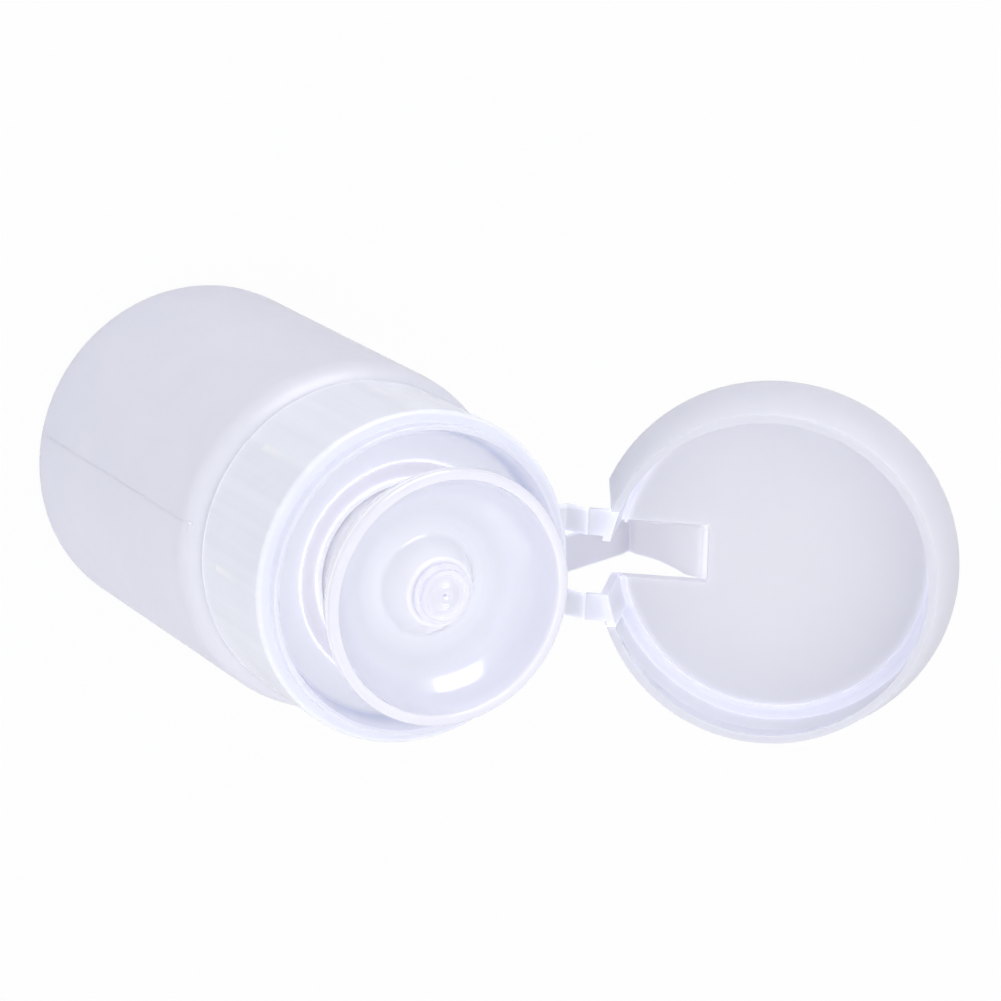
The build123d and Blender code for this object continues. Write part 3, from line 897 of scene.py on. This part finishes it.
# The outline is taken round the axis on a grid: one column of the grid for each of its points
turning, given = new_tree("turned_outline", {"Steps": "NodeSocketInt"})
size = add_node(turning, "GeometryNodeAttributeDomainSize", links={0: given.outputs["Geometry"]})
columns = add_node(
    turning, "ShaderNodeMath", {"operation": "ADD", 1: 1.0}, {0: size.outputs["Point Count"]}
)
rows = add_node(
    turning, "ShaderNodeMath", {"operation": "ADD", 1: 1.0}, {0: given.outputs["Steps"]}
)
grid = add_node(
    turning,
    "GeometryNodeMeshGrid",
    links={"Vertices X": columns.outputs[0], "Vertices Y": rows.outputs[0]},
)
number = add_node(turning, "GeometryNodeInputIndex")
share = add_node(
    turning, "ShaderNodeMath", {"operation": "DIVIDE"}, {0: number.outputs[0], 1: rows.outputs[0]}
)
column = add_node(turning, "ShaderNodeMath", {"operation": "FLOOR"}, {0: share.outputs[0]})
row = add_node(
    turning, "ShaderNodeMath", {"operation": "MODULO"}, {0: number.outputs[0], 1: rows.outputs[0]}
)
point = add_node(
    turning,
    "ShaderNodeMath",
    {"operation": "MODULO"},
    {0: column.outputs[0], 1: size.outputs["Point Count"]},
)
where = add_node(turning, "GeometryNodeInputPosition")
sample = add_node(
    turning,
    "GeometryNodeSampleIndex",
    {"data_type": "FLOAT_VECTOR"},
    {"Geometry": given.outputs["Geometry"], "Value": where.outputs[0], "Index": point.outputs[0]},
)
turned_share = add_node(
    turning,
    "ShaderNodeMath",
    {"operation": "DIVIDE"},
    {0: row.outputs[0], 1: given.outputs["Steps"]},
)
around = add_node(
    turning,
    "ShaderNodeMath",
    {"operation": "MULTIPLY", 1: 2 * math.pi},
    {0: turned_share.outputs[0]},
)
spun = add_node(
    turning,
    "ShaderNodeVectorRotate",
    {"rotation_type": "Z_AXIS"},
    {"Vector": sample.outputs[0], "Angle": around.outputs[0]},
)
placed = add_node(
    turning,
    "GeometryNodeSetPosition",
    links={"Geometry": grid.outputs[0], "Position": spun.outputs[0]},
)
closed = add_node(
    turning,
    "GeometryNodeMergeByDistance",
    {"Distance": 0.001 * mm},
    {"Geometry": placed.outputs[0]},
)
real = add_node(turning, "GeometryNodeRealizeInstances", links={0: closed.outputs[0]})
smooth = add_node(turning, "GeometryNodeSetShadeSmooth", links={0: real.outputs[0]})
finished = add_node(
    turning,
    "GeometryNodeSetMaterial",
    links={0: smooth.outputs[0], "Material": given.outputs["Material"]},
)
add_node(turning, "NodeGroupOutput", links={0: finished.outputs[0]})

milky_polypropylene, skin = moulded_plastic(
    "milky_dish_polypropylene", "#F7F7F9", "#FFFFFF", 0.08, 1.5, 0.2, 5.0, 0.02
)
tree, place = skin["tree"], skin["place"]
flat = add_node(
    tree,
    "ShaderNodeVectorMath",
    {"operation": "MULTIPLY", 1: (1, 1, 0)},
    {0: place.outputs["Object"]},
)
radius = add_node(tree, "ShaderNodeVectorMath", {"operation": "LENGTH"}, {0: flat.outputs[0]})
across = add_node(
    tree, "ShaderNodeMapRange", {"From Max": 22 * mm}, {"Value": radius.outputs["Value"]}
)
# Thick parts are painted whiter than the thin bowl: boss, corner of the bowl, wall and rim. This
# is partly their thickness and partly painted light: a painted glow at the boss and a painted
# highlight band at the rim
tones_with_painted_light = add_node(tree, "ShaderNodeValToRGB", links={0: across.outputs[0]})
tones_with_painted_light.color_ramp.elements.remove(tones_with_painted_light.color_ramp.elements[1])
tones_with_painted_light.color_ramp.elements[0].color = srgb("#FAFAFF")
for distance, colour in (
    (6.6, "#F8F8FE"),
    (9.4, "#EEEFF7"),
    (12.5, "#E5E7F1"),
    (15.0, "#E6E8F2"),
    (17.5, "#E5E7F2"),
    (19.2, "#E7E8F3"),
    (19.7, "#EEEEF7"),
    (21.0, "#E8E8F2"),
):
    tones_with_painted_light.color_ramp.elements.new(distance / 22).color = srgb(colour)
# Painted light: the skirt and the outside of the bowl, where they face down, are painted near
# white for the light that comes through the wall into their shade
facing = add_node(tree, "ShaderNodeNewGeometry")
upward = add_node(tree, "ShaderNodeSeparateXYZ", links={0: facing.outputs["Normal"]})
outside = add_node(
    tree,
    "ShaderNodeMapRange",
    {"From Min": 0.02, "From Max": 0.12, "To Min": 1.0, "To Max": 0.0},
    {"Value": upward.outputs["Z"]},
)
walled = add_node(
    tree,
    "ShaderNodeMix",
    {"data_type": "RGBA", 7: srgb("#FCFCFF")},
    {0: outside.outputs[0], 6: tones_with_painted_light.outputs[0]},
)
cloudy = add_node(
    tree,
    "ShaderNodeMix",
    {"data_type": "RGBA", "blend_type": "MULTIPLY", 0: 1.0},
    {6: walled.outputs[2], 7: skin["tint"].outputs[2]},
)
tree.links.new(cloudy.outputs[2], skin["shader"].inputs["Base Color"])
# Turning rings, 0.35 mm apart on the real piece, drawn 0.7 mm apart so that they show
rings = add_node(
    tree,
    "ShaderNodeTexNoise",
    {"noise_dimensions": "1D", "Scale": 1000 / 0.7, "Detail": 2.0, "Roughness": 0.6},
    {"W": radius.outputs["Value"]},
)
ringed = add_node(
    tree,
    "ShaderNodeBump",
    {"Strength": 1.0, "Distance": 0.013 * mm},
    {"Height": rings.outputs[0], "Normal": skin["bump"].outputs[0]},
)
tree.links.new(ringed.outputs[0], skin["shader"].inputs["Normal"])
skin["shader"].inputs["Coat Weight"].default_value = 0.6
skin["shader"].inputs["Coat Roughness"].default_value = 0.14
dish = grown(
    "turned_press_dish",
    turning,
    rounded(dish_outline),
    True,
    {"Steps": turning_steps, "Material": milky_polypropylene},
)
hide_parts("press_dish")
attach(dish, "press_head")


# Nozzle button
# A small clear moulding pushed into the dish's boss. It has a stepped round head, a fine hole
# and two small flat keys beside the hole, by which it is turned in.
nozzle_outline = (
    (0.25, 98.65, 0.1),
    (3.15, 98.65, 0.15),
    (3.15, 101.45, 0.1),
    (5.05, 101.45, 0.2),
    (5.1, 102.45, 0.3),
    (4.35, 102.5, 0.1),
    (4.25, 103.7, 0.35),
    (3.55, 103.7, 0.15),
    (3.35, 103.2, 0.2),
    (2.6, 103.15, 0.3),
    (1.3, 103.5, 0.4),
    (0.7, 103.45, 0.2),
    (0.25, 103.15, 0.1),
)
key_size = (0.34, 0.9, 0.5)
key_places = ((-1.75, -0.15), (1.75, 0.1))
clear_polypropylene, skin = moulded_plastic(
    "clear_nozzle_polypropylene", "#E9E9F3", "#EFEFF8", 0.2, 1.2, 0.12, 3.0, 0.015
)
nozzle = grown(
    "turned_nozzle_button",
    turning,
    rounded(nozzle_outline),
    True,
    {"Steps": 96, "Material": clear_polypropylene},
)
keys = bmesh.new()
keys.from_mesh(nozzle.data)
for x, y in key_places:
    block = bmesh.ops.create_cube(keys, size=1.0)
    bmesh.ops.scale(keys, vec=Vector(key_size) * mm, verts=block["verts"])
    bmesh.ops.translate(keys, vec=Vector((x, y, 103.25)) * mm, verts=block["verts"])
    sides = {edge for vert in block["verts"] for edge in vert.link_edges}
    bmesh.ops.bevel(keys, geom=list(sides), offset=0.09 * mm, segments=2, affect="EDGES")
keys.to_mesh(nozzle.data)
keys.free()
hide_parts("nozzle_button")
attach(nozzle, "press_head")


# Flip lid
# Moulded in one with the collar, from the same natural polypropylene. The flat top is painted a
# little darker than the wall round it, partly for its thin wall and partly as painted shade, and
# the moulded ring on it is painted a little paler, a painted highlight.
lid_opening = math.radians(144.26)
lid_hinge = Vector((0, 30.15, 94.45)) * mm
lid_rim_foot = 92.3
lid_wall_lean = 0.222
lid_polypropylene, skin = moulded_plastic(
    "smooth_lid_polypropylene", "#FAFAFB", "#FFFFFF", 0.08, 1.5, 0.36, 6.0, 0.03
)
tree, place = skin["tree"], skin["place"]
# The pattern is laid out on the closed lid, so the place of each point is turned back first
back = Matrix.Rotation(lid_opening, 3, "X")
shut = add_node(
    tree,
    "ShaderNodeMapping",
    {"Location": lid_hinge - back @ lid_hinge, "Rotation": (lid_opening, 0, 0)},
    {"Vector": place.outputs["Object"]},
)
parts = add_node(tree, "ShaderNodeSeparateXYZ", links={0: shut.outputs[0]})
flat = add_node(
    tree, "ShaderNodeVectorMath", {"operation": "MULTIPLY", 1: (1, 1, 0)}, {0: shut.outputs[0]}
)
radius = add_node(tree, "ShaderNodeVectorMath", {"operation": "LENGTH"}, {0: flat.outputs[0]})
across = add_node(
    tree,
    "ShaderNodeMapRange",
    {"From Min": 22 * mm, "From Max": 31 * mm},
    {"Value": radius.outputs["Value"]},
)
# Tone by radius on the closed lid, painted light: a darker plate, a paler ring and wall, and an
# outermost band painted darker again as painted shade
tones_with_painted_light = add_node(tree, "ShaderNodeValToRGB", links={0: across.outputs[0]})
tones_with_painted_light.color_ramp.elements.remove(tones_with_painted_light.color_ramp.elements[1])
tones_with_painted_light.color_ramp.elements[0].color = srgb("#DCDCE2")
for distance, colour in (
    (25.3, "#DDDDE2"),
    (25.5, "#DFDFE7"),
    (25.9, "#DFDFE7"),
    (26.2, "#E4E5ED"),
    (27.6, "#EAEBF2"),
    (28.0, "#E9EAF2"),
    (30.0, "#DDDEE7"),
):
    tones_with_painted_light.color_ramp.elements.new((distance - 22) / 9).color = srgb(colour)
# The wall leans out with its height: inside it, it is painted whiter, as painted light against the
# shade inside the lid
lean = add_node(
    tree, "ShaderNodeMath", {"operation": "MULTIPLY", 1: lid_wall_lean}, {0: parts.outputs["Z"]}
)
off_wall = add_node(
    tree,
    "ShaderNodeMath",
    {"operation": "SUBTRACT"},
    {0: radius.outputs["Value"], 1: lean.outputs[0]},
)
inside = add_node(
    tree,
    "ShaderNodeMapRange",
    {"From Min": 6.5 * mm, "From Max": 6.9 * mm, "To Min": 1.0, "To Max": 0.0},
    {"Value": off_wall.outputs[0]},
)
off_plate = add_node(
    tree,
    "ShaderNodeMapRange",
    {"From Min": 25.9 * mm, "From Max": 26.6 * mm},
    {"Value": radius.outputs["Value"]},
)
inner_wall_painted_light = add_node(
    tree,
    "ShaderNodeMath",
    {"operation": "MULTIPLY"},
    {0: inside.outputs[0], 1: off_plate.outputs[0]},
)
walled = add_node(
    tree,
    "ShaderNodeMix",
    {"data_type": "RGBA", 7: srgb("#EAEBF3")},
    {0: inner_wall_painted_light.outputs[0], 6: tones_with_painted_light.outputs[0]},
)
# The flat foot of the rim is painted greyer than the wall: a painted shade that damps the light
# its thin edge catches
rim_painted_shade = add_node(
    tree,
    "ShaderNodeMapRange",
    {
        "From Min": (lid_rim_foot + 0.05) * mm,
        "From Max": (lid_rim_foot + 0.4) * mm,
        "To Min": 1.0,
        "To Max": 0.0,
    },
    {"Value": parts.outputs["Z"]},
)
rimmed = add_node(
    tree,
    "ShaderNodeMix",
    {"data_type": "RGBA", 7: srgb("#D1D2DA")},
    {0: rim_painted_shade.outputs[0], 6: walled.outputs[2]},
)
cloudy = add_node(
    tree,
    "ShaderNodeMix",
    {"data_type": "RGBA", "blend_type": "MULTIPLY", 0: 1.0},
    {6: rimmed.outputs[2], 7: skin["tint"].outputs[2]},
)
tree.links.new(cloudy.outputs[2], skin["shader"].inputs["Base Color"])
dress(lid_polypropylene, "flip_lid")


# Snap band
# Two thin panels between the collar and the lid, moulded in one with them. The lower one starts
# from a film at the collar's wall, the two meet in a rounded fold, and the upper one widens
# until another film joins it to the end of the lid's slot.
band_half_thickness = 0.4
band_edge = 0.35
band_root = Vector((28.9, 88.0))
band_fold = Vector((46.058, 79.840))
band_end = Vector((52.206, 95.045))
slot_way = Vector((0.8117, 0.5841))
fold_thickness = 0.28
film_thickness = 0.16
waist_half = 3.2
end_half = 4.5
lower_way = (band_fold - band_root).normalized()
upper_way = (band_end - band_fold).normalized()
fold_outward = (lower_way - upper_way).normalized()
fold_start = band_fold - lower_way * 1.5
fold_finish = band_fold + upper_way * 1.5
fold_corner = band_fold + fold_outward * 1.55


def band_stations(line):
    """Stations of a ribbon from a middle line: (place (y, z), half width, half thickness)."""
    stations = []
    for i, (spot, half, thickness) in enumerate(line):
        way = (line[min(i + 1, len(line) - 1)][0] - line[max(i - 1, 0)][0]).normalized()
        up = Vector((-way.y, way.x))
        stations.append((0, half, tuple(spot + up * thickness), tuple(spot - up * thickness)))
    return stations


def in_fold(t):
    """A point of the rounded fold: 0 is its start on the lower panel, 1 its end on the upper."""
    return fold_start * (1 - t) ** 2 + fold_corner * 2 * t * (1 - t) + fold_finish * t**2


# The two panels are one plastic in two painted shades of light: the lower one darker and bluer as
# painted shade, the upper one, closer to the lid, paler and less blue as painted light. Their
# bevelled edges are painted paler, as a painted highlight
lit_and_shaded_band_polypropylene = {}
for panel, colour, cloud in (("lower", "#DCDCE6", "#E0E0EA"), ("upper", "#E9E8EE", "#EDECF1")):
    lit_and_shaded_band_polypropylene[panel], skin = moulded_plastic(
        "thin_band_polypropylene_" + panel, colour, cloud, 0.08, 1.0, 0.34, 4.0, 0.02
    )
    tree = skin["tree"]
    edge = add_node(tree, "ShaderNodeAttribute", {"attribute_name": "edge"})
    with_painted_highlight = add_node(
        tree,
        "ShaderNodeMix",
        {"data_type": "RGBA", 7: srgb("#EEEFF8")},
        {0: edge.outputs["Fac"], 6: skin["tint"].outputs[2]},
    )
    tree.links.new(with_painted_highlight.outputs[2], skin["shader"].inputs["Base Color"])

lower_line = [(band_root + lower_way * 0.3, waist_half - 0.15, film_thickness)]
lower_line += [
    (band_root + lower_way * along, waist_half, thickness)
    for along, thickness in ((0.6, 0.26), (0.9, 0.4), (4.0, 0.4), (9.0, 0.4), (14.0, 0.4))
]
lower_line += [
    (
        in_fold(t / 12),
        waist_half,
        band_half_thickness + (fold_thickness - band_half_thickness) * t / 6,
    )
    for t in range(0, 7)
]
lower = ribbon(
    "snap_band_lower_panel", band_stations(lower_line), band_edge, lit_and_shaded_band_polypropylene["lower"]
)
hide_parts("snap_band_lower")
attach(lower, "band_lower")

upper_length = (band_end - band_fold).length
upper_line = [
    (
        in_fold(t / 12),
        waist_half,
        fold_thickness + (band_half_thickness - fold_thickness) * (t - 6) / 6,
    )
    for t in range(6, 13)
]
for step in range(15):
    along = 2.0 + step * (upper_length - 2.95) / 14
    share = min(max((along - 5.0) / 7.6, 0), 1)
    upper_line.append(
        (
            band_fold + upper_way * along,
            waist_half + (end_half - waist_half) * share**1.6,
            band_half_thickness,
        )
    )
upper_line.append((band_end - upper_way * 0.6, end_half, 0.26))
upper_line.append((band_end - upper_way * 0.3, end_half - 0.1, film_thickness))
upper = ribbon(
    "snap_band_upper_panel", band_stations(upper_line), band_edge, lit_and_shaded_band_polypropylene["upper"]
)
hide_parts("snap_band_upper")
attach(upper, "band_upper")

# The films are painted nearly white: painted light for the light that passes through so thin a
# sheet
film_polypropylene, skin = moulded_plastic(
    "film_hinge_polypropylene", "#F2F2FA", "#F8F8FD", 0.1, 0.6, 0.3, 3.0, 0.01
)
root_line = [
    (Vector((27.9, 88.0)), waist_half - 0.2, film_thickness),
    (Vector((28.5, 88.0)), waist_half - 0.2, film_thickness),
    (band_root - lower_way * 0.1, waist_half - 0.2, film_thickness),
    (band_root + lower_way * 0.15, waist_half - 0.2, film_thickness),
    (band_root + lower_way * 0.5, waist_half - 0.2, film_thickness),
]
root_film = ribbon("snap_band_root_film", band_stations(root_line), 0.1, film_polypropylene)
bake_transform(root_film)
end_line = [
    (band_end - upper_way * 0.5, end_half - 0.15, film_thickness),
    (band_end - upper_way * 0.2, end_half - 0.15, film_thickness),
    (band_end + slot_way * 0.1, end_half - 0.15, film_thickness),
    (band_end + slot_way * 0.3, end_half - 0.15, film_thickness),
    (band_end + slot_way * 0.6, end_half - 0.15, film_thickness),
]
end_film = ribbon("snap_band_end_film", band_stations(end_line), 0.1, film_polypropylene)
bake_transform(end_film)
